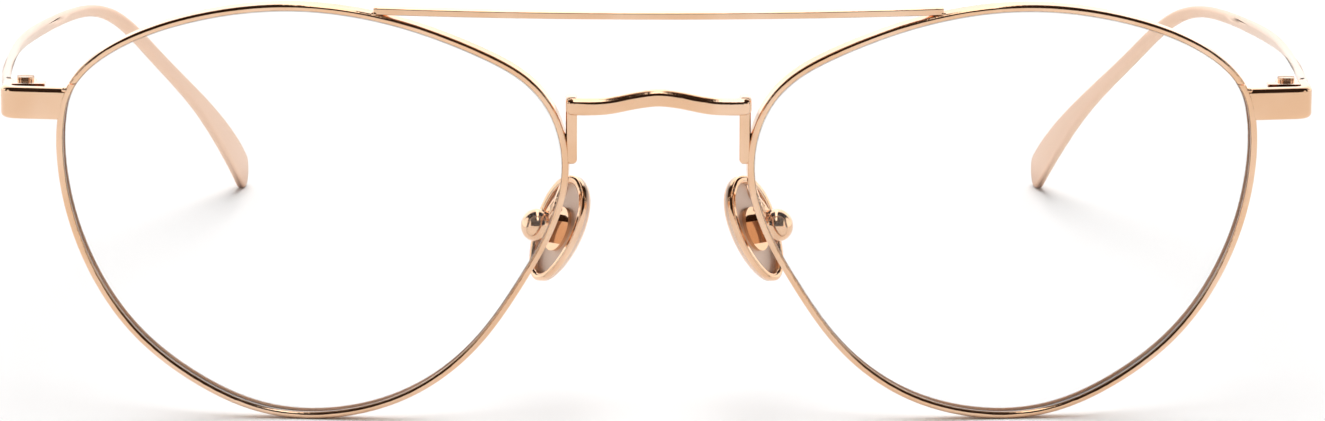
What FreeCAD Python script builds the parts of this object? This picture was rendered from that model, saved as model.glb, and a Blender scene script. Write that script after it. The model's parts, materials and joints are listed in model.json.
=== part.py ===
import FreeCAD, Part
import math
import os

from FreeCAD import Placement, Rotation, Vector

# Double-bridge aviator spectacles. Lengths are millimetres, angles degrees.
# +Z is up, the lenses face -Y, the temples run back along +Y, X = 0 is the mirror plane.
# Each paired piece comes from one function called with side +1 (+X, wearer's left) or -1.

os.makedirs("parts", exist_ok=True)
doc = FreeCAD.newDocument("aviator_glasses")

# ---------------------------------------------------------------- driving dimensions
sheet = doc.addObject("Spreadsheet::Sheet", "Sizes")
dimensions = [
    ("lens_width", 53.6, "outline width of one rim, wire centre to wire centre"),
    ("lens_height", 44.6, "outline height of one rim, wire centre to wire centre"),
    ("nose_half", 11.5, "rim's centre line from the mirror plane at the nose"),
    ("base_curve", 132.0, "radius of the lens front sphere"),
    ("wrap_angle", 5.0, "each lens turned back at the temporal side"),
    ("lean_angle", 3.5, "front leaning forward at the top when it stands"),
    ("rim_width", 0.74, "rim wire seen from the front"),
    ("rim_depth", 2.0, "rim wire front to back"),
    ("rim_edge", 0.3, "rounding of the rim wire's edges"),
    ("rim_gap", 0.14, "saw cut where the rim closes"),
    ("lens_thick", 1.6, "lens thickness"),
    ("lens_tongue", 1.2, "thickness of the lens edge held in the rim"),
    ("lens_bite", 0.3, "how far the lens edge reaches into the rim"),
    ("groove_clear", 0.04, "clearance of the lens edge in its groove"),
    ("brow_half", 29.9, "half length of the brow bar"),
    ("brow_height", 0.74, "brow bar section height"),
    ("brow_depth", 1.4, "brow bar section depth"),
    ("brow_bow", 0.8, "brow bar bowed forward in the middle"),
    ("brow_sag", 0.4, "brow bar sagging in the middle"),
    ("bridge_tuck", 1.75, "saddle bar's end short of the rim's centre line"),
    ("bridge_height", 33.85, "underside of the saddle bar at its ends"),
    ("bridge_rise", 0.95, "saddle bar's middle above its ends"),
    ("bridge_bar", 1.8, "saddle bar section height"),
    ("bridge_depth", 1.5, "saddle bar section depth"),
    ("bridge_forward", 1.95, "saddle bar in front of the lens centres"),
    ("bridge_round", 0.55, "rounding of the saddle bar's long edges"),
    ("bridge_leg", 1.2, "width of the saddle bar's legs"),
    ("end_reach", 4.5, "outer face of the end pieces beyond the rim's centre line"),
    ("end_height", 3.4, "end piece height"),
    ("end_thick", 1.15, "end piece strip thickness"),
    ("end_level", 33.9, "middle height of the end pieces"),
    ("end_corner", 2.0, "outer corner radius of the end pieces"),
    ("end_slope", 8.5, "end piece's front face turned back"),
    ("hinge_back", 6.0135, "hinge axis behind the rim at the end piece"),
    ("barrel_radius", 1.15, "hinge barrel radius"),
    ("shank_radius", 0.5, "hinge screw shank radius"),
    ("barrel_gap", 0.1, "hinge barrel clear of the faces beside it"),
    ("bore_clear", 0.04, "running clearance of a screw in a turning piece"),
    ("washer_thick", 0.15, "hinge washer thickness"),
    ("temple_thick", 1.0, "temple strip thickness"),
    ("neck_thick", 0.65, "temple neck thickness at the hinge"),
    ("arm_height", 1.25, "temple arm height"),
    ("paddle_height", 4.3, "temple paddle height"),
    ("temple_reach", 133.5, "temple tip behind the lens centres"),
    ("temple_drop", 2.3, "temple arm falling to the back, angle"),
    ("bend_reach", 87.0, "temple bend behind the lens centres"),
    ("pad_length", 12.2, "nose pad length"),
    ("pad_width", 7.2, "nose pad width"),
    ("pad_rim", 0.85, "width of the nose pad's raised edge"),
    ("pad_centre", 10.6, "nose pad centre from the mirror plane"),
    ("pad_back", 8.0, "nose pad centre behind the lens centres"),
    ("pad_level", 19.8, "nose pad centre height"),
    ("pad_frontal", 22.0, "nose pad leaning in at the top"),
    ("pad_splay", 35.0, "nose pad turned out at the back"),
    ("cap_radius", 1.75, "pad screw cap radius"),
    ("cap_height", 2.0, "pad screw cap height"),
    ("pad_wire", 0.5, "pad arm wire radius"),
    ("lug_radius", 1.3, "pad arm lug radius"),
    ("lug_thick", 0.8, "pad arm lug thickness"),
]
for row, (alias, value, note) in enumerate(dimensions, start=1):
    sheet.set("A%d" % row, alias)
    sheet.set("B%d" % row, str(value))
    sheet.set("C%d" % row, note)
    sheet.setAlias("B%d" % row, alias)
doc.recompute()


def size(alias):
    return float(getattr(sheet, alias))


# places that follow from the sizes: outline origin, saddle bar's end and outer face of the
# end pieces from the mirror plane, hinge axis inside that outer face
lens_centre = size("nose_half") + size("lens_width") / 2
bridge_half = size("nose_half") - size("bridge_tuck")
end_outer = lens_centre + size("lens_width") / 2 + size("end_reach")
hinge_inset = size("end_thick") + size("barrel_radius") + size("barrel_gap")


def cosd(angle):
    return math.cos(math.radians(angle))


def sind(angle):
    return math.sin(math.radians(angle))


def tand(angle):
    return math.tan(math.radians(angle))


nodes = []
sides = ((1, "left"), (-1, "right"))


# ---------------------------------------------------------------- small helpers
def new_body(label):
    body = doc.addObject("PartDesign::Body", label)
    body.Label = label
    return body


def sketch_on(body, role, curves, offset=None):
    sketch = body.newObject("Sketcher::SketchObject", body.Name + "_sketch")
    planes = [f for f in body.Origin.OriginFeatures if f.Role == role]
    sketch.AttachmentSupport = [(planes[0], "")]
    sketch.MapMode = "FlatFace"
    if offset is not None:
        sketch.AttachmentOffset = Placement(offset, Rotation())
    for curve in curves:
        sketch.addGeometry(curve, False)
    doc.recompute()
    return sketch


def pad(body, sketch, length, middle=False, flip=False):
    feature = body.newObject("PartDesign::Pad", body.Name + "_pad")
    feature.Profile = sketch
    feature.SideType = "Symmetric" if middle else "One side"
    feature.Reversed = flip
    if isinstance(length, str):
        feature.setExpression("Length", length)
    else:
        feature.Length = length
    doc.recompute()
    return feature


def pocket(body, sketch, length, middle=False, flip=False):
    before = body.Shape.Volume
    feature = body.newObject("PartDesign::Pocket", body.Name + "_pocket")
    feature.Profile = sketch
    feature.SideType = "Symmetric" if middle else "One side"
    feature.Reversed = flip
    if isinstance(length, str):
        feature.setExpression("Length", length)
    else:
        feature.Length = length
    doc.recompute()
    assert body.Shape.Volume < before - 1e-6, "pocket removed nothing in " + body.Label
    return feature


def turned_cut(body, sketch):
    before = body.Shape.Volume
    feature = body.newObject("PartDesign::Groove", body.Name + "_groove")
    feature.Profile = sketch
    feature.ReferenceAxis = (sketch, ["V_Axis"])
    feature.Angle = 360.0
    doc.recompute()
    assert body.Shape.Volume < before - 1e-6, "groove removed nothing in " + body.Label
    return feature


def soften(body, kind, names, amount):
    base = body.Tip
    feature = body.newObject("PartDesign::" + kind, body.Name + "_" + kind.lower())
    feature.Base = (base, names)
    feature.setExpression("Radius" if kind == "Fillet" else "Size", amount)
    doc.recompute()
    return feature


def edge_names(shape, test):
    return ["Edge%d" % i for i, edge in enumerate(shape.Edges, start=1) if test(edge)]


def polygon(points):
    ring = points + points[:1]
    return [Part.LineSegment(a, b) for a, b in zip(ring, ring[1:])]


def spline(points, closed=False):
    curve = Part.BSplineCurve()
    curve.interpolate(points, PeriodicFlag=closed)
    return curve


def keep(item, label):
    item.Label = label
    nodes.append(item)
    return item


def cut_away(base, tool, label):
    cut = doc.addObject("Part::Cut", label)
    cut.Base = base
    cut.Tool = tool
    cut.Refine = False
    doc.recompute()
    return cut


def crossed(first, second, label):
    common = doc.addObject("Part::Common", label)
    common.Base = first
    common.Tool = second
    doc.recompute()
    return common


# ---------------------------------------------------------------- rim outline and lens frame
# (outward, up) from the outline origin, for a rim 53.6 wide and 44.6 high
outline = [
    (24.95, 9.3), (23.6, 12.4), (19.3, 16.15), (11.2, 19.45), (0.0, 20.95), (-11.15, 19.3),
    (-19.3, 16.2), (-25.5, 12.0), (-28.3, 5.0), (-27.3, -1.6), (-23.7, -8.6),
    (-18.7, -15.7), (-12.1, -20.95), (-4.1, -23.5), (4.1, -23.15), (11.5, -19.8),
    (17.6, -14.8), (22.1, -8.0), (24.75, 0.0), (25.3, 5.2),
]
wide = size("lens_width") / 53.6
high = size("lens_height") / 44.6
radius = size("base_curve")
outer_edge = size("rim_width") / 2
bite = size("lens_bite") - outer_edge


def rim_curve(side, offset):
    """Closed outline shifted outwards by offset, in the lens plane."""
    middle = spline([Vector(u * wide, v * high, 0) for u, v in outline], closed=True)
    count = 2 * len(outline)
    first, last = middle.FirstParameter, middle.LastParameter
    shifted = []
    for step in range(count):
        at = first + (last - first) * step / count
        tangent = middle.tangent(at)[0]
        point = middle.value(at) + Vector(tangent.y, -tangent.x, 0) * offset
        shifted.append(Vector(side * point.x, point.y, 0))
    return spline(shifted, closed=True)


edge_points = [(p.x, p.y) for p in rim_curve(1, outer_edge).discretize(400)]
lean = size("lean_angle")
wrap = size("wrap_angle")


def sag(u, v):
    return radius - math.sqrt(radius * radius - u * u - v * v)


# the rims rest on the table at the lowest point of their front edge
rest_height = max(-v * cosd(lean) - sag(u, v) * sind(lean) for u, v in edge_points)
front_shift = (size("bridge_forward") - size("temple_reach")) / 2


def at(x, y, z):
    """A point given from the mirror plane, the lens centres and the table."""
    return Vector(x, y + front_shift, z)


def lens_frame(side):
    turn = Rotation(Vector(0, 0, 1), side * wrap) * Rotation(Vector(1, 0, 0), 90 + lean)
    return Placement(at(side * lens_centre, 0, rest_height), turn)


def on_lens(side, u, v, depth=0.0):
    return lens_frame(side).multVec(Vector(side * u, v, -sag(u, v) - depth))


def shell_profile(front, back):
    """Two regions that leave only the spherical shell between two depths."""
    far = 32.0
    curves = []
    for depth, limit in ((front, 1.0), (back, -9.0)):
        r = radius - depth
        low = math.sqrt(r * r - far * far) - radius
        half = math.sqrt(r * r - far * far / 4) - radius
        top = Vector(0, -depth, 0)
        end = Vector(far, low, 0)
        curves.append(Part.Arc(top, Vector(far / 2, half, 0), end))
        curves.append(Part.LineSegment(end, Vector(far, limit, 0)))
        curves.append(Part.LineSegment(Vector(far, limit, 0), Vector(0, limit, 0)))
        curves.append(Part.LineSegment(Vector(0, limit, 0), top))
    return curves


def shell_body(label, curves, front, back):
    body = new_body(label)
    sketch = sketch_on(body, "XY_Plane", curves)
    pad(body, sketch, 8.5, flip=True)
    turned_cut(body, sketch_on(body, "XZ_Plane", shell_profile(front, back)))
    return body


def make_rim(side, name):
    """Grooved wire swept round the outline on the lens sphere, saw cut where it closes."""
    middle = rim_curve(side, 0.0)
    first, last = middle.FirstParameter, middle.LastParameter
    flat = [middle.value(first + (last - first) * step / 60) for step in range(60)]
    path = spline([Vector(p.x, p.y, -sag(p.x, p.y)) for p in flat], closed=True)
    start = path.value(path.FirstParameter)
    outward = path.tangent(path.FirstParameter)[0].cross(Vector(0, 0, side))
    outward.normalize()
    deep = size("rim_depth")
    half = size("lens_tongue") / 2 + size("groove_clear")
    floor = bite + size("groove_clear")
    mid = -deep / 2
    w = outer_edge
    r = size("rim_edge")
    q = r * (1 - cosd(45))

    def spot(across, level):
        return start + outward * across + Vector(0, 0, level)

    corners = [((w - r, 0), (w - q, -q), (w, -r)),
               ((w, -deep + r), (w - q, -deep + q), (w - r, -deep)),
               ((-w + r, -deep), (-w + q, -deep + q), (-w, -deep + r)),
               ((-w, mid - half),), ((floor, mid - half),), ((floor, mid + half),),
               ((-w, mid + half),), ((-w, -r), (-w + q, -q), (-w + r, 0))]
    edges = []
    for corner, following in zip(corners, corners[1:] + corners[:1]):
        if len(corner) == 3:
            edges.append(Part.Arc(*[spot(*p) for p in corner]).toShape())
        edges.append(Part.LineSegment(spot(*corner[-1]), spot(*following[0])).toShape())
    sweep = Part.BRepOffsetAPI.MakePipeShell(Part.Wire([path.toShape()]))
    sweep.setBiNormalMode(Vector(0, 0, 1))
    sweep.add(Part.Wire(edges))
    sweep.build()
    sweep.makeSolid()
    u, v = 23.8 * wide, 12.1 * high
    gap = size("rim_gap")
    saw = Part.makeBox(5, gap, 9, Vector(side * u - 2.5, v - gap / 2, -8))
    ring = doc.addObject("Part::Feature", "rim_ring_" + name)
    ring.Shape = sweep.shape().cut(saw)
    ring.Placement = lens_frame(side)
    return keep(ring, "rim_" + name)


def make_inside(side, name):
    """Everything inside the middle line of the rim, to trim what is soldered outside it."""
    body = new_body("rim_inside_" + name)
    pad(body, sketch_on(body, "XY_Plane", [rim_curve(side, 0.0)], Vector(0, 0, 1)), 12.0,
        flip=True)
    body.Placement = lens_frame(side)
    return body


def make_lens(side, name):
    middle = size("rim_depth") / 2
    half = size("lens_thick") / 2
    tongue = size("lens_tongue") / 2
    inside = -outer_edge - size("groove_clear")
    disc = shell_body("lens_disc_" + name, [rim_curve(side, inside)], middle - half, middle + half)
    edge = shell_body("lens_edge_" + name, [rim_curve(side, bite)], middle - tongue,
                      middle + tongue)
    whole = doc.addObject("Part::Fuse", "lens_whole_" + name)
    whole.Base = disc
    whole.Tool = edge
    whole.Placement = lens_frame(side)
    doc.recompute()
    return keep(whole, "lens_" + name)


# ---------------------------------------------------------------- brow bar and bridge
def strip(front, back):
    """Closed strip between two three-point arcs."""
    return [Part.Arc(*front), Part.LineSegment(front[2], back[2]),
            Part.Arc(*reversed(back)), Part.LineSegment(back[0], front[0])]


def arch(half, end, middle):
    return (Vector(-half, end, 0), Vector(0, middle, 0), Vector(half, end, 0))


def make_brow_bar(rims):
    half = size("brow_half")
    bow = size("brow_bow")
    droop = size("brow_sag")
    u = half - lens_centre
    v = max(y for x, y in edge_points if abs(x - u) < 0.5)
    seat = on_lens(1, u, v)
    front = seat.y + 0.1
    plan = new_body("brow_plan")
    curves = strip(arch(half, front, front - bow),
                   arch(half, front + size("brow_depth"), front - bow + size("brow_depth")))
    pad(plan, sketch_on(plan, "XY_Plane", curves, Vector(0, 0, seat.z)), 8.0, middle=True)
    face = new_body("brow_face")
    low = seat.z - 0.12
    curves = strip(arch(half + 1, low, low - droop),
                   arch(half + 1, low + size("brow_height"), low + size("brow_height") - droop))
    pad(face, sketch_on(face, "XZ_Plane", curves, Vector(0, 0, -front_shift)), 30.0, middle=True)
    bar = crossed(plan, face, "brow_bar_blank")
    fillet = doc.addObject("Part::Fillet", "brow_bar_soft")
    fillet.Base = bar
    long_edges = [i for i, e in enumerate(bar.Shape.Edges, start=1) if e.Length > 20.0]
    fillet.Edges = [(i, 0.14, 0.14) for i in long_edges]
    doc.recompute()
    first = cut_away(fillet, rims["left"], "brow_bar_cut_one")
    return keep(cut_away(first, rims["right"], "brow_bar_cut_two"), "brow_bar")


def make_bridge(rims, insides):
    half = bridge_half
    low = size("bridge_height")
    tall = size("bridge_bar")
    rise = size("bridge_rise")
    leg = size("bridge_leg")
    deep = size("bridge_depth")
    body = new_body("bridge_blank")
    # under and upper line of the bar from the left end to the right end
    shape = [(-half, 0.05), (-0.76 * half, 0.0), (-0.54 * half, 0.12), (-0.29 * half, 0.62),
             (-0.1 * half, 0.93), (0, 1.0)]
    shape += [(-x, z) for x, z in reversed(shape[:-1])]
    under = [Vector(x, low + rise * z, 0) for x, z in shape]
    upper = [Vector(p.x, p.y + tall, 0) for p in reversed(under)]
    bar = [spline(under), Part.LineSegment(under[-1], upper[0]),
           spline(upper), Part.LineSegment(upper[-1], under[0])]
    front = size("bridge_forward") - front_shift
    sketch = sketch_on(body, "XZ_Plane", bar, Vector(0, 0, front))
    pad(body, sketch, "Sizes.bridge_depth", flip=True)

    def corner(edge):
        box = edge.BoundBox
        upright = box.ZLength > 1.0 and box.XLength < 0.01 and box.YLength < 0.01
        return upright and abs(box.YMin + front) < 0.01

    def long_edge(edge):
        return edge.BoundBox.XLength > 1.2 * half

    soften(body, "Fillet", edge_names(body.Shape, corner), "0.8 mm")
    soften(body, "Fillet", edge_names(body.Shape, long_edge), "Sizes.bridge_round")
    bridge = body
    # a strap at each end goes back from the bar and down along the rim
    back = 1.75
    stock = 1.3
    top = low + tall + 0.12
    foot = low - 5.6
    for side, name in sides:
        strap = new_body("bridge_strap_" + name)
        path = [(deep / 2 - size("bridge_forward"), top), (back, top), (back, foot),
                (back - stock, foot), (back - stock, top - stock),
                (deep / 2 - size("bridge_forward"), top - stock)]
        corners = [Vector(y + front_shift, z, 0) for y, z in path]
        middle = side * (half - leg / 2)
        sketch = sketch_on(strap, "YZ_Plane", polygon(corners), Vector(0, 0, middle))
        pad(strap, sketch, "Sizes.bridge_leg", middle=True)

        def at_spot(edge, y, z):
            box = edge.BoundBox
            return (box.XLength > 1.0 and abs(box.YMin - y - front_shift) < 0.01
                    and abs(box.ZMin - z) < 0.01)

        soften(strap, "Fillet", edge_names(strap.Shape, lambda e: at_spot(e, back, top)), "1.1 mm")
        inner = edge_names(strap.Shape, lambda e: at_spot(e, back - stock, top - stock))
        soften(strap, "Fillet", inner, "0.4 mm")

        def foot_edge(edge):
            return edge.BoundBox.YLength > 1.0 and edge.BoundBox.ZMax < foot + 0.01

        soften(strap, "Fillet", edge_names(strap.Shape, foot_edge), "0.5 mm")

        def leg_front(edge):
            box = edge.BoundBox
            upright = box.ZLength > 2.5 and box.XLength < 0.01
            return upright and abs(box.YMin - back + stock - front_shift) < 0.01

        soften(strap, "Fillet", edge_names(strap.Shape, leg_front), "0.35 mm")

        def knee_top(edge):
            box = edge.BoundBox
            return box.ZMin > top - 0.01 and box.YLength > 0.8 and box.XLength < 0.01

        soften(strap, "Fillet", edge_names(strap.Shape, knee_top), "0.35 mm")
        fuse = doc.addObject("Part::Fuse", "bridge_with_strap_" + name)
        fuse.Base = bridge
        fuse.Tool = strap
        doc.recompute()
        bridge = fuse
    for side, name in sides:
        bridge = cut_away(bridge, insides[name], "bridge_trim_" + name)
        bridge = cut_away(bridge, rims[name], "bridge_cut_" + name)
    return keep(bridge, "bridge")


# ---------------------------------------------------------------- end piece, rim lock, hinge
end_low = size("end_level") - size("end_height") / 2
end_top = size("end_level") + size("end_height") / 2
hinge_x = end_outer - hinge_inset
wing_inner = end_outer - size("end_thick")
rim_u = 25.2 * wide
rim_seat = on_lens(1, rim_u, (size("end_level") - rest_height) / cosd(lean))
hinge_y = rim_seat.y - front_shift + size("hinge_back")
barrel = size("barrel_radius")
play = 0.03
third = (size("end_height") - 0.4) / 3


def box_body(label, side, x_range, y_range, z_range):
    body = new_body(label)
    x0, x1 = x_range
    y0, y1 = y_range
    corners = [at(side * x0, y0, 0), at(side * x1, y0, 0), at(side * x1, y1, 0),
               at(side * x0, y1, 0)]
    sketch = sketch_on(body, "XY_Plane", polygon(corners), Vector(0, 0, z_range[0]))
    pad(body, sketch, z_range[1] - z_range[0])
    return body


def add_round(body, side, radius_mm, z_range, x=None, y=None):
    centre = at(side * (hinge_x if x is None else x), hinge_y if y is None else y, 0)
    circle = Part.Circle(centre, Vector(0, 0, 1), radius_mm)
    sketch = sketch_on(body, "XY_Plane", [circle], Vector(0, 0, z_range[0]))
    pad(body, sketch, z_range[1] - z_range[0])


def bore_round(body, side, radius_mm, z_range, x=None, y=None):
    centre = at(side * (hinge_x if x is None else x), hinge_y if y is None else y, 0)
    circle = Part.Circle(centre, Vector(0, 0, 1), radius_mm)
    sketch = sketch_on(body, "XY_Plane", [circle], Vector(0, 0, z_range[0]))
    pocket(body, sketch, z_range[1] - z_range[0], flip=True)


def add_block(body, side, x_range, y_range, z_range):
    x0, x1 = x_range
    y0, y1 = y_range
    corners = [at(side * x0, y0, 0), at(side * x1, y0, 0), at(side * x1, y1, 0),
               at(side * x0, y1, 0)]
    sketch = sketch_on(body, "XY_Plane", polygon(corners), Vector(0, 0, z_range[0]))
    pad(body, sketch, z_range[1] - z_range[0])


def front_line(x):
    """Front face of the end piece, measured back from the lens centres."""
    return rim_seat.y - front_shift + (x - rim_seat.x) * tand(size("end_slope")) - 0.02


def make_endpiece(side, name, rim, inside):
    outer = end_outer
    thick = size("end_thick")
    body = new_body("endpiece_blank_" + name)
    start = rim_seat.x - 1.4
    inner = outer - thick
    shape = [(start, front_line(start)), (outer, front_line(outer)), (outer, hinge_y - 0.05),
             (inner, hinge_y - 0.05), (inner, front_line(inner) + thick),
             (start, front_line(start) + thick)]
    corners = [at(side * x, y, 0) for x, y in shape]
    sketch = sketch_on(body, "XY_Plane", polygon(corners), Vector(0, 0, end_low))
    pad(body, sketch, "Sizes.end_height")
    for x, y, amount in ((outer, front_line(outer), "Sizes.end_corner"),
                         (inner, front_line(inner) + thick, "Sizes.end_corner - Sizes.end_thick")):
        spot = at(side * x, y, 0)

        def upright(edge, spot=spot):
            box = edge.BoundBox
            return (box.ZLength > 1.0 and abs(box.XMin - spot.x) < 0.01
                    and abs(box.YMin - spot.y) < 0.01)

        soften(body, "Fillet", edge_names(body.Shape, upright), amount)

    def outside(edge):
        box = edge.BoundBox
        flat = box.ZLength < 0.01 and edge.Length > 1.5
        middle = edge.valueAt((edge.FirstParameter + edge.LastParameter) / 2)
        x = abs(middle.x)
        on_front = middle.y - front_shift < front_line(x) + 0.3 and x < outer - 2.0
        return flat and (on_front or x > outer - 0.9)

    soften(body, "Fillet", edge_names(body.Shape, outside), "0.5 mm")
    trimmed = cut_away(body, inside, "endpiece_trim_" + name)
    return keep(cut_away(trimmed, rim, "endpiece_cut_" + name), "endpiece_" + name)


lock_x = rim_seat.x + 1.35
lock_y = rim_seat.y - front_shift + 2.6
lock_split = end_low + 1.45
leaf_back = hinge_y - size("barrel_radius") - size("barrel_gap")
leaf_front = leaf_back - 1.45


def make_rim_lock(side, name, rim, endpiece, inside):
    x_range = (rim_seat.x - 0.35, rim_seat.x + 2.45)
    y_range = (lock_y - 1.3, leaf_front)
    lower = box_body("lock_lower_blank_" + name, side, x_range, y_range,
                     (end_low + 0.15, lock_split))
    bore_round(lower, side, 0.4, (end_low, end_top), lock_x, lock_y)
    first = cut_away(cut_away(lower, inside, "lock_lower_in_" + name), rim,
                     "lock_lower_trim_" + name)
    lower_node = cut_away(first, endpiece, "lock_lower_cut_" + name)
    upper = box_body("lock_upper_blank_" + name, side, x_range, y_range,
                     (lock_split + 0.12, end_top - 0.95))
    bore_round(upper, side, 0.44, (end_low, end_top), lock_x, lock_y)
    second = cut_away(upper, rim, "lock_upper_trim_" + name)
    upper_node = cut_away(second, endpiece, "lock_upper_cut_" + name)
    keep(lower_node, "rim_lock_lower_" + name)
    keep(upper_node, "rim_lock_upper_" + name)
    screw = new_body("lock_screw_blank_" + name)
    top = end_top - 0.95
    add_round(screw, side, 0.38, (end_low + 0.25, top + 0.05), lock_x, lock_y)
    add_round(screw, side, 0.75, (top, top + 0.35), lock_x, lock_y)
    slot_screw(screw, side, lock_x, lock_y, top + 0.35, 0.16, 0.18, 0.75)
    keep(screw, "rim_screw_" + name)


def slot_screw(body, side, x, y, top, half_width, depth, reach):
    centre = at(side * x, y, 0)
    corners = [Vector(centre.x - reach - 0.1, centre.y - half_width, 0),
               Vector(centre.x + reach + 0.1, centre.y - half_width, 0),
               Vector(centre.x + reach + 0.1, centre.y + half_width, 0),
               Vector(centre.x - reach - 0.1, centre.y + half_width, 0)]
    sketch = sketch_on(body, "XY_Plane", polygon(corners), Vector(0, 0, top - depth))
    pocket(body, sketch, depth + 0.1, flip=True)


# heights of the hinge knuckles: lower front, rear, upper front
gap = size("washer_thick") + play
low_top = end_low + 0.05 + third - gap / 2
mid_low = low_top + gap
mid_top = mid_low + third - gap
up_low = mid_top + gap
up_top = end_top - 0.05


def make_hinge(side, name):
    shank = size("shank_radius")
    reach_in = barrel + 1.05
    front = new_body("front_leaf_body_" + name)
    add_block(front, side, (hinge_x - reach_in, wing_inner), (leaf_front, leaf_back),
              (end_low + 0.05, up_top))
    for z_range in ((end_low + 0.05, low_top), (up_low, up_top)):
        add_block(front, side, (hinge_x - barrel, wing_inner - 0.08), (leaf_back - 0.5, hinge_y),
                  z_range)
        add_round(front, side, barrel, z_range)
    bore_round(front, side, shank + 0.01, (end_low, end_top))
    keep(front, "hinge_front_leaf_" + name)
    rear = new_body("rear_leaf_body_" + name)
    neck_inner = end_outer - size("neck_thick")
    add_round(rear, side, barrel - 0.05, (mid_low, mid_top))
    add_block(rear, side, (hinge_x, neck_inner), (hinge_y + 0.12, hinge_y + 1.6),
              (mid_low, mid_top))
    add_block(rear, side, (neck_inner - 0.75, neck_inner), (hinge_y + 1.3, hinge_y + 6.0),
              (mid_low, mid_top))
    bore_round(rear, side, shank + size("bore_clear"), (end_low, end_top))
    keep(rear, "hinge_rear_leaf_" + name)
    screw = new_body("hinge_screw_body_" + name)
    add_round(screw, side, shank, (end_low + 0.1, up_top + 0.05))
    add_round(screw, side, 0.9, (up_top, up_top + 0.35))
    slot_screw(screw, side, hinge_x, hinge_y, up_top + 0.35, 0.17, 0.2, 0.9)
    keep(screw, "hinge_screw_" + name)
    for level, label in ((low_top, "lower"), (up_low - size("washer_thick"), "upper")):
        washer = new_body("washer_body_%s_%s" % (label, name))
        add_round(washer, side, barrel - 0.1, (level, level + size("washer_thick")))
        bore_round(washer, side, shank + 0.02, (level - 0.1, level + 1))
        keep(washer, "hinge_washer_%s_%s" % (label, name))


# ---------------------------------------------------------------- temple
def make_temple(side, name):
    outer = end_outer
    thick = size("temple_thick")
    reach = size("temple_reach")
    bend = size("bend_reach")
    drop = size("temple_drop")
    start = hinge_y + 0.08
    # outer line of the strip seen from above: (distance back, distance from the middle)
    plan_points = [(start, outer), (start + 9, outer + 0.9), (0.3 * reach, outer + 1.9),
                   (0.43 * reach, outer + 1.2), (bend - 18, outer - 0.9),
                   (bend - 3, outer - 4.4), (bend + 9, outer - 9.4), (bend + 25, outer - 15.0),
                   (reach + 3, outer - 19.9)]
    line = spline([at(side * x, y, 0) for y, x in plan_points])
    inner = []
    for step in range(13):
        where = line.FirstParameter + (line.LastParameter - line.FirstParameter) * step / 12
        tangent = line.tangent(where)[0]
        point = line.value(where)
        inner.append(point + Vector(-side * tangent.y, side * tangent.x, 0) * thick)
    back = spline(inner)
    plan = new_body("temple_plan_" + name)
    curves = [line, Part.LineSegment(line.value(line.LastParameter), inner[-1]), back,
              Part.LineSegment(inner[0], line.value(line.FirstParameter))]
    pad(plan, sketch_on(plan, "XY_Plane", curves, Vector(0, 0, -5)), 60.0)
    face = new_body("temple_side_" + name)
    arm = size("arm_height") / 2
    paddle = size("paddle_height") / 2
    hinge_z = size("end_level")
    half_end = size("end_height") / 2 - 0.15

    def level(y):
        return hinge_z - (y - hinge_y) * tand(drop)

    tip_z = paddle
    span = reach - bend
    fall = level(bend) - tip_z
    slope = math.atan2(fall - 1.6, span - paddle - 1.0)
    tilt = math.degrees(slope)
    end_y = reach - paddle

    def falling(share):
        """Middle line of the dropped end, 0 at the bend and 1 at the tip's round."""
        return (bend + 1.0 + (end_y - bend - 1.0) * share,
                level(bend) - 1.6 - (fall - 1.6) * share)

    # middle line points with half height and tilt
    ribs = [(start + 10.5, level(start + 10.5), arm, drop),
            (0.4 * reach, level(0.4 * reach), arm, drop),
            (bend - 9.0, level(bend - 9.0), arm * 1.02, drop + 2),
            falling(0.0) + (arm * 1.1, 0.6 * tilt),
            falling(0.22) + (arm * 1.25, tilt + 1),
            falling(0.55) + (paddle * 0.52, tilt),
            falling(0.84) + (paddle * 0.88, tilt),
            falling(1.0) + (paddle, tilt)]
    top = [Vector(y + front_shift + h * sind(a), z + h * cosd(a), 0) for y, z, h, a in ribs]
    low = [Vector(y + front_shift - h * sind(a), z - h * cosd(a), 0) for y, z, h, a in ribs]
    butt_top = Vector(start + front_shift, hinge_z + half_end, 0)
    butt_low = Vector(start + front_shift, hinge_z - half_end, 0)
    neck_top = Vector(start + 3 + front_shift, level(start + 3) + half_end * 0.93, 0)
    neck_low = Vector(start + 3 + front_shift, level(start + 3) - half_end * 0.93, 0)
    tip = Vector(end_y + paddle * cosd(tilt) + front_shift, tip_z - paddle * sind(tilt), 0)
    upper = spline([neck_top] + top)
    under = spline([neck_low] + low)
    end = Part.Arc(top[-1], tip, low[-1])
    curves = [Part.LineSegment(butt_top, neck_top), upper, end, under,
              Part.LineSegment(neck_low, butt_low), Part.LineSegment(butt_low, butt_top)]
    sketch = sketch_on(face, "YZ_Plane", curves, Vector(0, 0, side * 60))
    pad(face, sketch, 60.0, middle=True)
    strip_shape = crossed(plan, face, "temple_strip_" + name)
    relief = box_body("temple_relief_" + name, side, (outer - 6, outer - size("neck_thick")),
                      (start - 2, start + 11), (20, 45))
    return keep(cut_away(strip_shape, relief, "temple_cut_" + name), "temple_" + name)


# ---------------------------------------------------------------- nose pad, mount, screw and arm
def pad_axes(side):
    frontal = size("pad_frontal")
    splay = size("pad_splay")
    up = Vector(-side * sind(frontal), -0.1, cosd(frontal))
    up.normalize()
    out = Vector(side * cosd(frontal) * cosd(splay), -sind(splay),
                 sind(frontal) * cosd(splay))
    out = out - up * out.dot(up)
    out.normalize()
    return up.cross(out), up, out


def pad_frame(side):
    across, up, out = pad_axes(side)
    centre = at(side * size("pad_centre"), size("pad_back"), size("pad_level"))
    matrix = FreeCAD.Matrix(across.x, up.x, out.x, centre.x, across.y, up.y, out.y, centre.y,
                            across.z, up.z, out.z, centre.z, 0, 0, 0, 1)
    return Placement(matrix)


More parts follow.
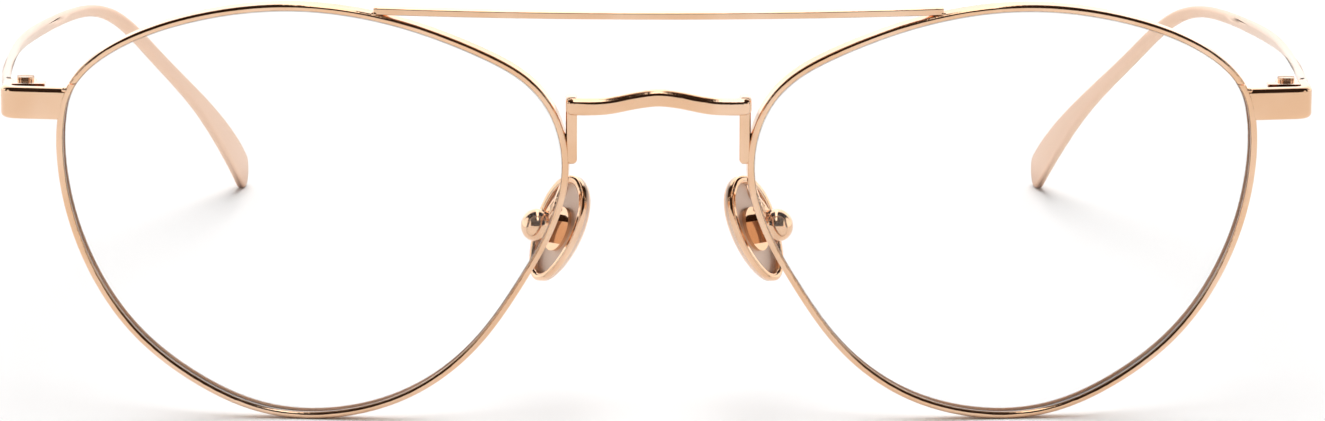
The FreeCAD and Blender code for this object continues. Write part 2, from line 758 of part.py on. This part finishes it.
def pad_outline(inset):
    long_half = size("pad_length") / 2 - inset
    wide_half = size("pad_width") / 2 - inset
    points = []
    for step in range(16):
        turn = 2 * math.pi * step / 16
        taper = 1.0 + 0.16 * math.sin(turn)
        points.append(Vector(wide_half * taper * math.cos(turn), long_half * math.sin(turn), 0))
    return spline(points, closed=True)


post_top = 1.45
lug_low = post_top + 0.05
cap_low = lug_low + size("lug_thick") + 0.05


def make_nose_pad(side, name):
    shell = new_body("pad_body_" + name)
    sketch = sketch_on(shell, "XY_Plane", [pad_outline(0)], Vector(0, 0, -1.0))
    pad(shell, sketch, 1.5)
    nose_side = edge_names(shell.Shape, lambda e: e.Length > 12 and e.BoundBox.ZMax < -0.9)
    soften(shell, "Fillet", nose_side, "0.75 mm")
    floor = sketch_on(shell, "XY_Plane", [pad_outline(size("pad_rim"))], Vector(0, 0, -0.3))
    pocket(shell, floor, 1.5, flip=True)

    def rim_edge(edge):
        return edge.Length > 12 and edge.BoundBox.ZMax > 0.45

    soften(shell, "Fillet", edge_names(shell.Shape, rim_edge), "0.32 mm")
    shell.Placement = pad_frame(side)
    keep(shell, "nose_pad_" + name)

    mount = new_body("pad_mount_body_" + name)
    base = Part.Ellipse(Vector(0, 0, 0), 2.5, 1.7)
    base.rotate(Placement(Vector(), Rotation(Vector(0, 0, 1), 90)))
    pad(mount, sketch_on(mount, "XY_Plane", [base], Vector(0, 0, -0.3)), 0.45)
    post = [Vector(-1.0, -1.3, 0), Vector(1.0, -1.3, 0), Vector(1.0, 1.3, 0),
            Vector(-1.0, 1.3, 0)]
    pad(mount, sketch_on(mount, "XY_Plane", polygon(post), Vector(0, 0, 0)), post_top)
    hole = Part.Circle(Vector(), Vector(0, 0, 1), 0.46)
    pocket(mount, sketch_on(mount, "XY_Plane", [hole], Vector(0, 0, 0.4)), 3.0, flip=True)
    mount.Placement = pad_frame(side)
    keep(mount, "pad_mount_" + name)

    screw = new_body("pad_screw_body_" + name)
    cap_r = size("cap_radius")
    cap_h = size("cap_height")
    top = cap_low + cap_h
    profile = [Part.LineSegment(Vector(0, 0.45, 0), Vector(0.45, 0.45, 0)),
               Part.LineSegment(Vector(0.45, 0.45, 0), Vector(0.45, cap_low, 0)),
               Part.LineSegment(Vector(0.45, cap_low, 0), Vector(cap_r - 0.15, cap_low, 0)),
               Part.LineSegment(Vector(cap_r - 0.15, cap_low, 0),
                                Vector(cap_r, cap_low + 0.15, 0)),
               Part.LineSegment(Vector(cap_r, cap_low + 0.15, 0), Vector(cap_r, cap_low + 0.6, 0)),
               Part.Arc(Vector(cap_r, cap_low + 0.6, 0),
                        Vector(cap_r * 0.74, top - cap_h * 0.2, 0), Vector(0.25, top, 0)),
               Part.LineSegment(Vector(0.25, top, 0), Vector(0, top, 0)),
               Part.LineSegment(Vector(0, top, 0), Vector(0, 0.45, 0))]
    sketch = sketch_on(screw, "XZ_Plane", profile)
    turned = screw.newObject("PartDesign::Revolution", screw.Name + "_turned")
    turned.Profile = sketch
    turned.ReferenceAxis = (sketch, ["V_Axis"])
    turned.Angle = 360.0
    doc.recompute()
    screw.Placement = pad_frame(side)
    keep(screw, "pad_screw_" + name)


def make_pad_arm(side, name, rim, lens):
    # one bent wire from the rim's back, up and over, down to a round lug
    frame = pad_frame(side)
    lug_z = lug_low + size("lug_thick") / 2
    lug = frame.multVec(Vector(0, 0, lug_z))
    lug_up = frame.multVec(Vector(0.1, 1.7, lug_z))
    u, v = -size("lens_width") / 2 - 0.6, -1.3 * high
    root = on_lens(side, u, v, size("rim_depth") - 0.25)
    top = size("pad_level") + 5.1
    path = spline([root, root + Vector(-side * 0.35, 1.3, 1.5),
                   at(side * 9.95, 4.7, top), at(side * 10.15, 6.0, top - 0.9), lug_up, lug])
    ring = Part.Wire([Part.Circle(root, path.tangent(path.FirstParameter)[0],
                                  size("pad_wire")).toShape()])
    wire = Part.Wire([path.toShape()]).makePipeShell([ring], True, False)
    normal = frame.Rotation.multVec(Vector(0, 0, 1))
    start = frame.multVec(Vector(0, 0, lug_low))
    disc = Part.makeCylinder(size("lug_radius"), size("lug_thick"), start, normal)
    slab = Part.makeBox(8, 8, size("lug_thick"), Vector(-4, -4, lug_low))
    slab.Placement = frame.multiply(slab.Placement)
    hole = Part.makeCylinder(0.45 + size("bore_clear"), 3, start - normal, normal)
    near = Part.makeCylinder(2.4, 6, start - normal * 2, normal)
    solid = wire.cut(near.cut(slab)).fuse(disc).cut(hole).cut(rim.Shape)
    solid = solid.cut(lens.Shape)
    best = max(solid.Solids, key=lambda s: s.Volume)
    arm = doc.addObject("Part::Feature", "pad_arm_shape_" + name)
    arm.Shape = best
    return keep(arm, "pad_arm_" + name)


# ---------------------------------------------------------------- assemble
rims = {}
insides = {}
lenses = {}
for side, name in sides:
    rims[name] = make_rim(side, name)
    insides[name] = make_inside(side, name)
    lenses[name] = make_lens(side, name)
make_brow_bar(rims)
make_bridge(rims, insides)
for side, name in sides:
    endpiece = make_endpiece(side, name, rims[name], insides[name])
    make_rim_lock(side, name, rims[name], endpiece, insides[name])
    make_hinge(side, name)
    make_temple(side, name)
    make_nose_pad(side, name)
    make_pad_arm(side, name, rims[name], lenses[name])
doc.recompute()

for item in doc.Objects:
    assert "Invalid" not in item.State and "Error" not in item.State, item.Label
total = FreeCAD.BoundBox()
for item in nodes:
    shape = item.Shape
    assert not shape.isNull() and shape.isValid(), item.Label
    box = shape.BoundBox
    total.add(box)
    print("%-26s solids %d volume %8.2f  x %.2f %.2f  y %.2f %.2f  z %.2f %.2f" % (
        item.Label, len(shape.Solids), shape.Volume, box.XMin, box.XMax, box.YMin, box.YMax,
        box.ZMin, box.ZMax))
    shape.exportStep("parts/%s.step" % item.Label)
print("total", total)
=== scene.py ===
import json
import math

import bmesh
import bpy
from mathutils import Matrix, Vector


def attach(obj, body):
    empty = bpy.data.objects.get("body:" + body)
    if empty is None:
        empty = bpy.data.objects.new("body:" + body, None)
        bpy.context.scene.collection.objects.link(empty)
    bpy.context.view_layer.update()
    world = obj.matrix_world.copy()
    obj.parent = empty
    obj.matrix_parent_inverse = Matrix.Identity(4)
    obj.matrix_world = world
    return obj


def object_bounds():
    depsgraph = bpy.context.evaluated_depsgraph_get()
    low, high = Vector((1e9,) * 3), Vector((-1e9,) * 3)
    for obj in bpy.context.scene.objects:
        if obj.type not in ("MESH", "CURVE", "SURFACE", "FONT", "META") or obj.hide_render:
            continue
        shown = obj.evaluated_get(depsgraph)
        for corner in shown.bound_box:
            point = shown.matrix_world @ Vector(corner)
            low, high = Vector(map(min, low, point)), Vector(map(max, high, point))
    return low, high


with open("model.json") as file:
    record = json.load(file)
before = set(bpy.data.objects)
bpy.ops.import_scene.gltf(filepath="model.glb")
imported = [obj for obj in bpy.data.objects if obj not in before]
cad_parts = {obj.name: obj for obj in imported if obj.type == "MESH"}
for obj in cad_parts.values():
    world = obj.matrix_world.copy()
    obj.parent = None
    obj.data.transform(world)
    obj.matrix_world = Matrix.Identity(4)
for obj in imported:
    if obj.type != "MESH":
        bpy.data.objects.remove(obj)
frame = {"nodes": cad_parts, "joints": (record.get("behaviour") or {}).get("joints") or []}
cadLow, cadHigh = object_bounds()
nodes = frame["nodes"]
joints = {j["name"]: j for j in frame["joints"]}
print("frame loaded:", len(nodes), "solids")


# shader wiring: one wrapped socket, expressions on it, and one way to add any other node
class Flow:
    def __init__(self, tree, socket):
        self.tree = tree
        self.socket = socket

    def math(self, operation, first, second):
        return addNode(self.tree, "ShaderNodeMath", {"operation": operation}, {0: first, 1: second})

    def __add__(self, other):
        return self.math("ADD", self, other)

    def __radd__(self, other):
        return self.math("ADD", other, self)

    def __sub__(self, other):
        return self.math("SUBTRACT", self, other)

    def __rsub__(self, other):
        return self.math("SUBTRACT", other, self)

    def __mul__(self, other):
        return self.math("MULTIPLY", self, other)

    def __rmul__(self, other):
        return self.math("MULTIPLY", other, self)

    def __pow__(self, other):
        return self.math("POWER", self, other)


def addNode(tree, kind, settings=None, inputs=None, output=0):
    node = tree.nodes.new(kind)
    for name, value in (settings or {}).items():
        setattr(node, name, value)
    for name, value in (inputs or {}).items():
        if isinstance(value, Flow):
            tree.links.new(value.socket, node.inputs[name])
        else:
            node.inputs[name].default_value = value
    return Flow(tree, node.outputs[output])


def ease(tree, value, low, high, first=0.0, last=1.0):  # smooth step of value from low to high
    return addNode(tree, "ShaderNodeMapRange", {"interpolation_type": "SMOOTHSTEP"},
                   {0: value, 1: low, 2: high, 3: first, 4: last})


def blend(tree, share, first, second):
    return addNode(tree, "ShaderNodeMix", {"data_type": "RGBA"},
                   {0: share, 6: first, 7: second}, 2)


def parts(tree, vector):  # the three numbers of a vector
    return [addNode(tree, "ShaderNodeSeparateXYZ", {}, {0: vector}, i) for i in range(3)]


def shiny(colour, scale=1.0):
    return (colour[0] * scale, colour[1] * scale, colour[2] * scale, 1.0)


def grey(level):
    return (level, level, level, 1.0)


# a finish is a named material with one Principled shader
def newFinish(name):
    material = bpy.data.materials.new(name)
    material.use_nodes = True
    tree = material.node_tree
    return material, tree, tree.nodes["Principled BSDF"]


def join(tree, shader, **inputs):
    for name, flow in inputs.items():
        socket = shader.inputs[name.replace("_", " ")]
        if isinstance(flow, Flow):
            tree.links.new(flow.socket, socket)
        else:
            socket.default_value = flow


def place(tree):
    return addNode(tree, "ShaderNodeTexCoord", output=3)


def noise(tree, where, scale, detail=2.0, roughness=0.5):
    return addNode(tree, "ShaderNodeTexNoise", {},
                   {"Vector": where, "Scale": scale, "Detail": detail, "Roughness": roughness})


def stretched(tree, where, factors):
    return addNode(tree, "ShaderNodeVectorMath", {"operation": "MULTIPLY"},
                   {0: where, 1: factors})


# clear colour patches, fine grain and a slight waviness of hand polishing
polish = {"gold": (0.82, 0.52, 0.325), "pale": (0.90, 0.63, 0.445), "roughness": 0.075,
          "haze": 0.05, "cloudScale": 110.0, "grainScale": 5200.0, "grainDepth": 0.000004,
          "waveScale": 260.0, "waveDepth": 0.00007, "patch": (0.35, 0.7), "grainHaze": 0.02}


def polishedFinish(name, settings=polish, tint=1.0):
    material, tree, shader = newFinish(name)
    where = place(tree)
    cloud = noise(tree, where, settings["cloudScale"], 3.0)
    grain = noise(tree, where, settings["grainScale"], 2.0, 0.7)
    colour = blend(tree, ease(tree, cloud, *settings["patch"]), shiny(settings["gold"], tint),
                   shiny(settings["pale"], tint))
    wave = addNode(tree, "ShaderNodeBump", {},
                   {"Strength": 1.0, "Distance": settings["waveDepth"],
                    "Height": noise(tree, where, settings["waveScale"], 1.0)})
    bump = addNode(tree, "ShaderNodeBump", {},
                   {"Strength": 0.25, "Distance": settings["grainDepth"], "Height": grain,
                    "Normal": wave})
    join(tree, shader, Base_Color=colour, Metallic=1.0, Normal=bump,
         Roughness=settings["roughness"] + cloud * settings["haze"]
         + grain * settings["grainHaze"])
    return material


# front is a painted reflection that makes the hinge end pale, tip is painted shade on the lowest
# part near the floor, back is the metal's own colour
satin = {"front": (0.87, 0.78, 0.71), "back": (0.86, 0.60, 0.44), "tip": (0.62, 0.36, 0.22),
         "roughness": 0.34, "brushScale": 2700.0, "grain": (1.0, 0.03, 1.0), "edge": 0.0004,
         "paintedPaleReflectionTo": (0.03, 0.10), "tipTo": 0.0035, "shade": 0.93}


def satinFinish(name):  # brushed along its length, with painted reflection making it paler at the hinge and painted shade making it darker low down at the tip
    material, tree, shader = newFinish(name)
    where = place(tree)
    along, level = parts(tree, where)[1:]
    drawn = stretched(tree, where, satin["grain"])
    brush = noise(tree, drawn, satin["brushScale"], 3.0, 0.65)
    cloud = noise(tree, where, 45.0, 2.0)
    # painted reflection: the pale front colour near the hinge, fading to the back colour along the
    # temple
    length = ease(tree, along, *(cadLow.y + reach for reach in satin["paintedPaleReflectionTo"]))
    # painted shade: full at floor level, gone a few millimetres up
    low = ease(tree, level, 0.0, satin["tipTo"], 1.0, 0.0)
    body = blend(tree, length, shiny(satin["front"]), shiny(satin["back"]))
    streak = blend(tree, brush * 0.35 + cloud * 0.15, body, shiny(satin["back"], satin["shade"]))
    # painted shade near the floor darkens the lowest part of the tips
    colour = blend(tree, low * 0.7, streak, shiny(satin["tip"]))
    rounded = addNode(tree, "ShaderNodeBevel", {"samples": 6}, {"Radius": satin["edge"]})
    bump = addNode(tree, "ShaderNodeBump", {},
                   {"Strength": 0.35, "Distance": 0.00002, "Height": brush, "Normal": rounded})
    join(tree, shader, Base_Color=colour, Metallic=0.85,
         Roughness=satin["roughness"] + brush * 0.12, Normal=bump)
    return material


padLook = {"floor": (0.86, 0.68, 0.57), "floorRoughness": 0.42,
           "floorTop": (-0.00025, 0.0), "floorFoot": (-0.0006, -0.0004)}


def padFinish(name, side):  # polished raised edge, matt recessed floor
    material, tree, shader = newFinish(name)
    joint = joints["pad_swivel_" + side]
    axis = Vector(joint["axis"]).normalized()
    centre = Vector(joint["pos_m"])
    where = place(tree)
    height = addNode(tree, "ShaderNodeVectorMath", {"operation": "DOT_PRODUCT"},
                     {0: where, 1: tuple(axis)}, 1) - centre.dot(axis)
    below = ease(tree, height, *padLook["floorTop"], 1.0, 0.0)
    above = ease(tree, height, *padLook["floorFoot"], 0.0, 1.0)
    mask = below * above
    cloud = noise(tree, where, 180.0, 3.0)
    grain = noise(tree, where, 6000.0, 2.0, 0.7)
    metal = blend(tree, ease(tree, cloud, *polish["patch"]), shiny(polish["gold"]),
                  shiny(polish["pale"]))
    matt = blend(tree, cloud, shiny(padLook["floor"]), shiny(padLook["floor"], 0.9))
    bump = addNode(tree, "ShaderNodeBump", {},
                   {"Strength": 0.3, "Distance": 0.000006, "Height": grain})
    join(tree, shader, Base_Color=blend(tree, mask, metal, matt), Metallic=1.0,
         Roughness=0.08 + cloud * 0.04 + mask * padLook["floorRoughness"], Normal=bump)
    return material


lensLook = {"tint": (0.96, 0.98, 0.985), "alpha": 0.03, "rimward": 0.25,
            "ground": (0.42, 0.42, 0.43), "wrap": 5.0, "lean": 3.5, "edge": (0.35, 0.7)}


def lensFinish(name, side):  # clear faces with a faint smear, and a ground edge
    material, tree, shader = newFinish(name)
    where = place(tree)
    smear = noise(tree, where, 40.0, 2.0)
    turn = math.radians(lensLook["wrap"]) * side
    lean = math.radians(lensLook["lean"])
    axis = Vector((math.sin(turn), -math.cos(turn), -math.sin(lean))).normalized()
    normal = addNode(tree, "ShaderNodeNewGeometry", output=1)
    flat = addNode(tree, "ShaderNodeVectorMath", {"operation": "DOT_PRODUCT"},
                   {0: normal, 1: tuple(axis)}, 1)
    rimward = ease(tree, flat * flat, *lensLook["edge"], 1.0, 0.0)
    facing = addNode(tree, "ShaderNodeLayerWeight", {}, {"Blend": 0.35}, 1)
    join(tree, shader, Base_Color=blend(tree, rimward, shiny(lensLook["tint"]),
                                        shiny(lensLook["ground"])),
         Roughness=0.02 + smear * 0.02 + rimward * 0.5,
         Alpha=lensLook["alpha"] + (facing ** 3.0) * lensLook["rimward"] + rimward * 0.6, IOR=1.5)
    return material


goldFinish = polishedFinish("PolishedRoseGold")
screwFinish = polishedFinish("ScrewRoseGold", dict(polish, roughness=0.14), 0.94)
templeFinish = satinFinish("SatinRoseGold")
sides = {"left": 1, "right": -1}
clearFinishes = {side: lensFinish("ClearLens_" + side, sign) for side, sign in sides.items()}
padFinishes = {side: padFinish("PadRoseGold_" + side, side) for side in sides}

for name, item in nodes.items():
    side = "left" if name.endswith("left") else "right"
    if name.startswith("lens"):
        finish = clearFinishes[side]
    elif name.startswith("temple"):
        finish = templeFinish
    elif name.startswith("nose_pad"):
        finish = padFinishes[side]
    elif "screw" in name and not name.startswith("pad") or "washer" in name:
        finish = screwFinish
    else:
        finish = goldFinish
    item.data.materials.clear()
    item.data.materials.append(finish)
print("finishes on", len(nodes), "solids")

soften = {"weld": 0.000002, "width": 0.00035, "segments": 3, "angle": 40.0}


def softenEdges(item):  # small round on the long edges of a cut strip
    weld = item.modifiers.new("welded", "WELD")
    weld.merge_threshold = soften["weld"]
    bevel = item.modifiers.new("softened", "BEVEL")
    bevel.width = soften["width"]
    bevel.segments = soften["segments"]
    bevel.limit_method = "ANGLE"
    bevel.angle_limit = math.radians(soften["angle"])
    bevel.use_clamp_overlap = False
    bevel.harden_normals = False


for side in sides:
    softenEdges(nodes["temple_" + side])

# beads of solder where the wires and blocks meet the rims
solder = {"touch": 0.00004, "endpiece": 0.00032, "browBar": 0.00026, "padArm": 0.00042,
          "squash": (1.25, 1.0, 0.8), "ripple": 0.05, "waves": (3.1, 2.3)}


def contactSpot(first, second, score):  # the place where two solids touch with the highest score
    toSecond = second.matrix_world.inverted()
    spots = []
    for vertex in first.data.vertices:
        spot = first.matrix_world @ vertex.co
        found, near, _, _ = second.closest_point_on_mesh(toSecond @ spot)
        if found and (second.matrix_world @ near - spot).length < solder["touch"]:
            spots.append(spot)
    return max(spots, key=score)


def makeBead(name, spot, radius):
    shape = bmesh.new()
    bmesh.ops.create_icosphere(shape, subdivisions=3, radius=radius)
    for vertex in shape.verts:
        phase = (vertex.co.x * solder["waves"][0] + vertex.co.z * solder["waves"][1]) / radius
        ripple = 1.0 + solder["ripple"] * math.sin(phase)
        for axis in range(3):
            vertex.co[axis] = spot[axis] + vertex.co[axis] * solder["squash"][axis] * ripple
    mesh = bpy.data.meshes.new(name)
    shape.to_mesh(mesh)
    shape.free()
    for face in mesh.polygons:
        face.use_smooth = True
    bead = bpy.data.objects.new(name, mesh)
    bpy.context.scene.collection.objects.link(bead)
    mesh.materials.append(screwFinish)
    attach(bead, "front")


for side, sign in sides.items():
    rim = nodes["rim_" + side]
    corner = contactSpot(nodes["endpiece_" + side], rim, lambda p: p.z - p.y)
    makeBead("solder_endpiece_" + side, corner, solder["endpiece"])
    tail = contactSpot(nodes["brow_bar"], rim, lambda p: abs(p.x) if p.x * sign > 0 else -1.0)
    makeBead("solder_brow_" + side, tail, solder["browBar"])
    root = contactSpot(nodes["pad_arm_" + side], rim, lambda p: p.z)
    makeBead("solder_pad_arm_" + side, root, solder["padArm"])
print("solder beads placed")

# room: pale floor, a dim ceiling reaching to the front, a bright strip overhead and bright walls
room = {"floor": 3.0, "floorColour": (0.90, 0.90, 0.90), "back": 1.5, "side": 1.1, "front": 1.0,
        "backFrom": (-0.1, 0.5), "sideFrom": (0.25, 0.7),
        "dim": (0.030, 0.018, 0.012), "dimFrom": (0.09, 0.12), "dimWide": 0.90,
        "dimSoft": 0.12, "dimEnd": (0.42, 0.58),
        "strip": 2.2, "stripHalf": 0.10, "stripUp": (0.55, 0.65), "stripFront": (-0.75, -0.65),
        "post": (0.05, 0.035, 0.03), "postHalf": 0.13, "postOut": (0.60, 0.70)}


def makeFloor():
    mesh = bpy.data.meshes.new("floor")
    half = room["floor"]
    level = cadLow.z
    mesh.from_pydata([(-half, -half, level), (half, -half, level), (half, half, level),
                      (-half, half, level)], [], [(0, 1, 2, 3)])
    floor = bpy.data.objects.new("floor", mesh)
    bpy.context.scene.collection.objects.link(floor)
    material, tree, shader = newFinish("FloorWhite")
    mottle = noise(tree, place(tree), 3.0, 2.0)
    join(tree, shader, Base_Color=blend(tree, mottle * 0.2, shiny(room["floorColour"]),
                                        shiny(room["floorColour"], 0.985)), Roughness=0.9)
    mesh.materials.append(material)


def makeSurround():
    world = bpy.data.worlds.new("surround")
    bpy.context.scene.world = world
    world.use_nodes = True
    tree = world.node_tree
    across, away, up = parts(tree, addNode(tree, "ShaderNodeTexCoord"))
    wide = across * across
    # walls: brighter at the back than at the sides and the front
    back = ease(tree, away, *room["backFrom"])
    beside = ease(tree, wide, *room["sideFrom"])
    wall = blend(tree, beside, grey(room["front"]), grey(room["side"]))
    wall = blend(tree, back, wall, grey(room["back"]))
    # ceiling: dim from just over the front horizon to well behind the zenith
    backward = ease(tree, away, *room["dimEnd"], 1.0, 0.0)
    above = ease(tree, up, *room["dimFrom"])
    edge = room["dimWide"] * room["dimWide"]
    inside = ease(tree, wide, edge - room["dimSoft"], edge, 1.0, 0.0)
    dim = backward * above * inside
    half = room["stripHalf"] ** 2
    strip = ease(tree, wide, half * 0.6, half * 1.6, 1.0, 0.0)
    strip = strip * ease(tree, up, *room["stripUp"]) * ease(tree, away, *room["stripFront"])
    # a dark post standing at each side
    half = room["postHalf"] * room["postHalf"]
    post = ease(tree, away * away, half, half * 1.8, 1.0, 0.0)
    post = post * ease(tree, wide, *room["postOut"])
    wall = blend(tree, post, wall, shiny(room["post"]))
    colour = blend(tree, dim, wall, shiny(room["dim"]))
    colour = blend(tree, strip, colour, grey(room["strip"]))
    shader = tree.nodes["Background"]
    tree.links.new(colour.socket, shader.inputs[0])
    shader.inputs[1].default_value = 1.0


overhead = {"where": (0.0, 0.15, 1.3), "aim": (0.0, 0.1, 0.0), "size": (0.8, 1.6), "power": 14.0}


def makeLight(name, settings):
    data = bpy.data.lights.new(name, "AREA")
    data.shape = "RECTANGLE"
    data.size, data.size_y = settings["size"]
    data.energy = settings["power"]
    where = Vector(settings["where"])
    light = bpy.data.objects.new(name, data)
    light.location = where
    light.rotation_euler = (Vector(settings["aim"]) - where).to_track_quat("-Z", "Y").to_euler()
    light.visible_glossy = False
    bpy.context.scene.collection.objects.link(light)


makeFloor()
makeSurround()
makeLight("overhead", overhead)

# camera: a long lens, a little above the front
view = {"back": 0.700, "aside": -0.012, "height": 0.1638, "down": 11.34, "turn": -1.02,
        "roll": 0.22, "lens": 183.94, "sensor": 36.0, "near": 0.01, "hingeBack": 0.0104}
hingeY = Vector(joints["temple_hinge_left"]["pos_m"]).y
frontY = hingeY - view["hingeBack"]
cameraData = bpy.data.cameras.new("camera")
cameraData.lens = view["lens"]
cameraData.sensor_width = view["sensor"]
cameraData.clip_start = view["near"]
camera = bpy.data.objects.new("camera", cameraData)
camera.matrix_world = Matrix.Translation((view["aside"], frontY - view["back"], view["height"])) \
    @ Matrix.Rotation(math.radians(view["turn"]), 4, "Z") \
    @ Matrix.Rotation(math.radians(90 - view["down"]), 4, "X") \
    @ Matrix.Rotation(math.radians(view["roll"]), 4, "Z")
bpy.context.scene.collection.objects.link(camera)
bpy.context.scene.camera = camera
bpy.context.scene.view_settings.view_transform = "Standard"
print("room and camera placed")
